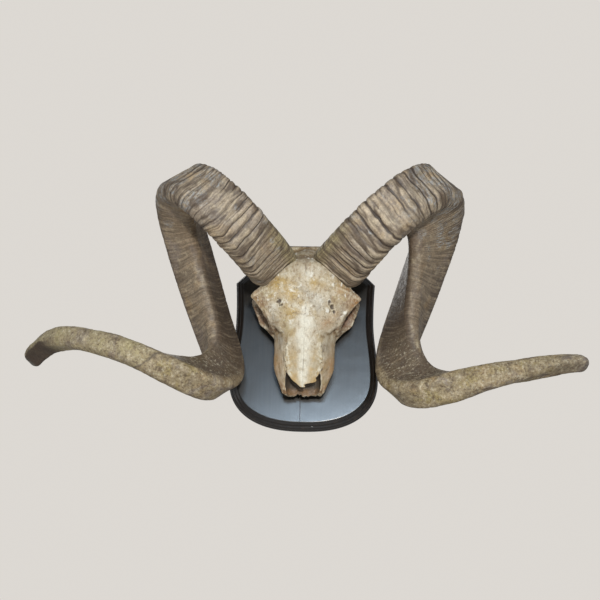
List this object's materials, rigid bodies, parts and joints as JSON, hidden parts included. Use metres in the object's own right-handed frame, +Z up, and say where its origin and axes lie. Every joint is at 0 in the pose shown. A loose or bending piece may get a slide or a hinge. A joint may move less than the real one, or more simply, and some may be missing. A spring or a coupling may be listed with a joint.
{
  "type": "mounted argali skull with horns",
  "caption": "Bare skull of an argali ram with both coiled, ridged horns, fixed flat on a moulded shield-shaped wall plaque.",
  "frame": {"origin": "middle of the plaque's flat back, on the wall", "axes": "+X to the right of a viewer who faces the plaque, +Y into the wall, +Z up"},
  "size_m": [1.0948, 0.3144, 0.4754],
  "materials": {
    "plaque_board": "dark stained wood under gloss varnish",
    "skull_bone": "old dry bone, cream with ochre and brown stains",
    "nasal_bone": "pale dry bone",
    "teeth": "worn enamel, stained at the folds",
    "horn_sheath": "weathered ridged horn, tan crests over dark grooves"
  },
  "bodies": {
    "root": {"plaque": "plaque_board", "skull": "skull_bone", "nasal_bone_left": "nasal_bone", "nasal_bone_right": "nasal_bone", "tooth_row_left": "teeth", "tooth_row_right": "teeth", "horn_left": "horn_sheath", "horn_right": "horn_sheath"}
  },
  "joints": []
}
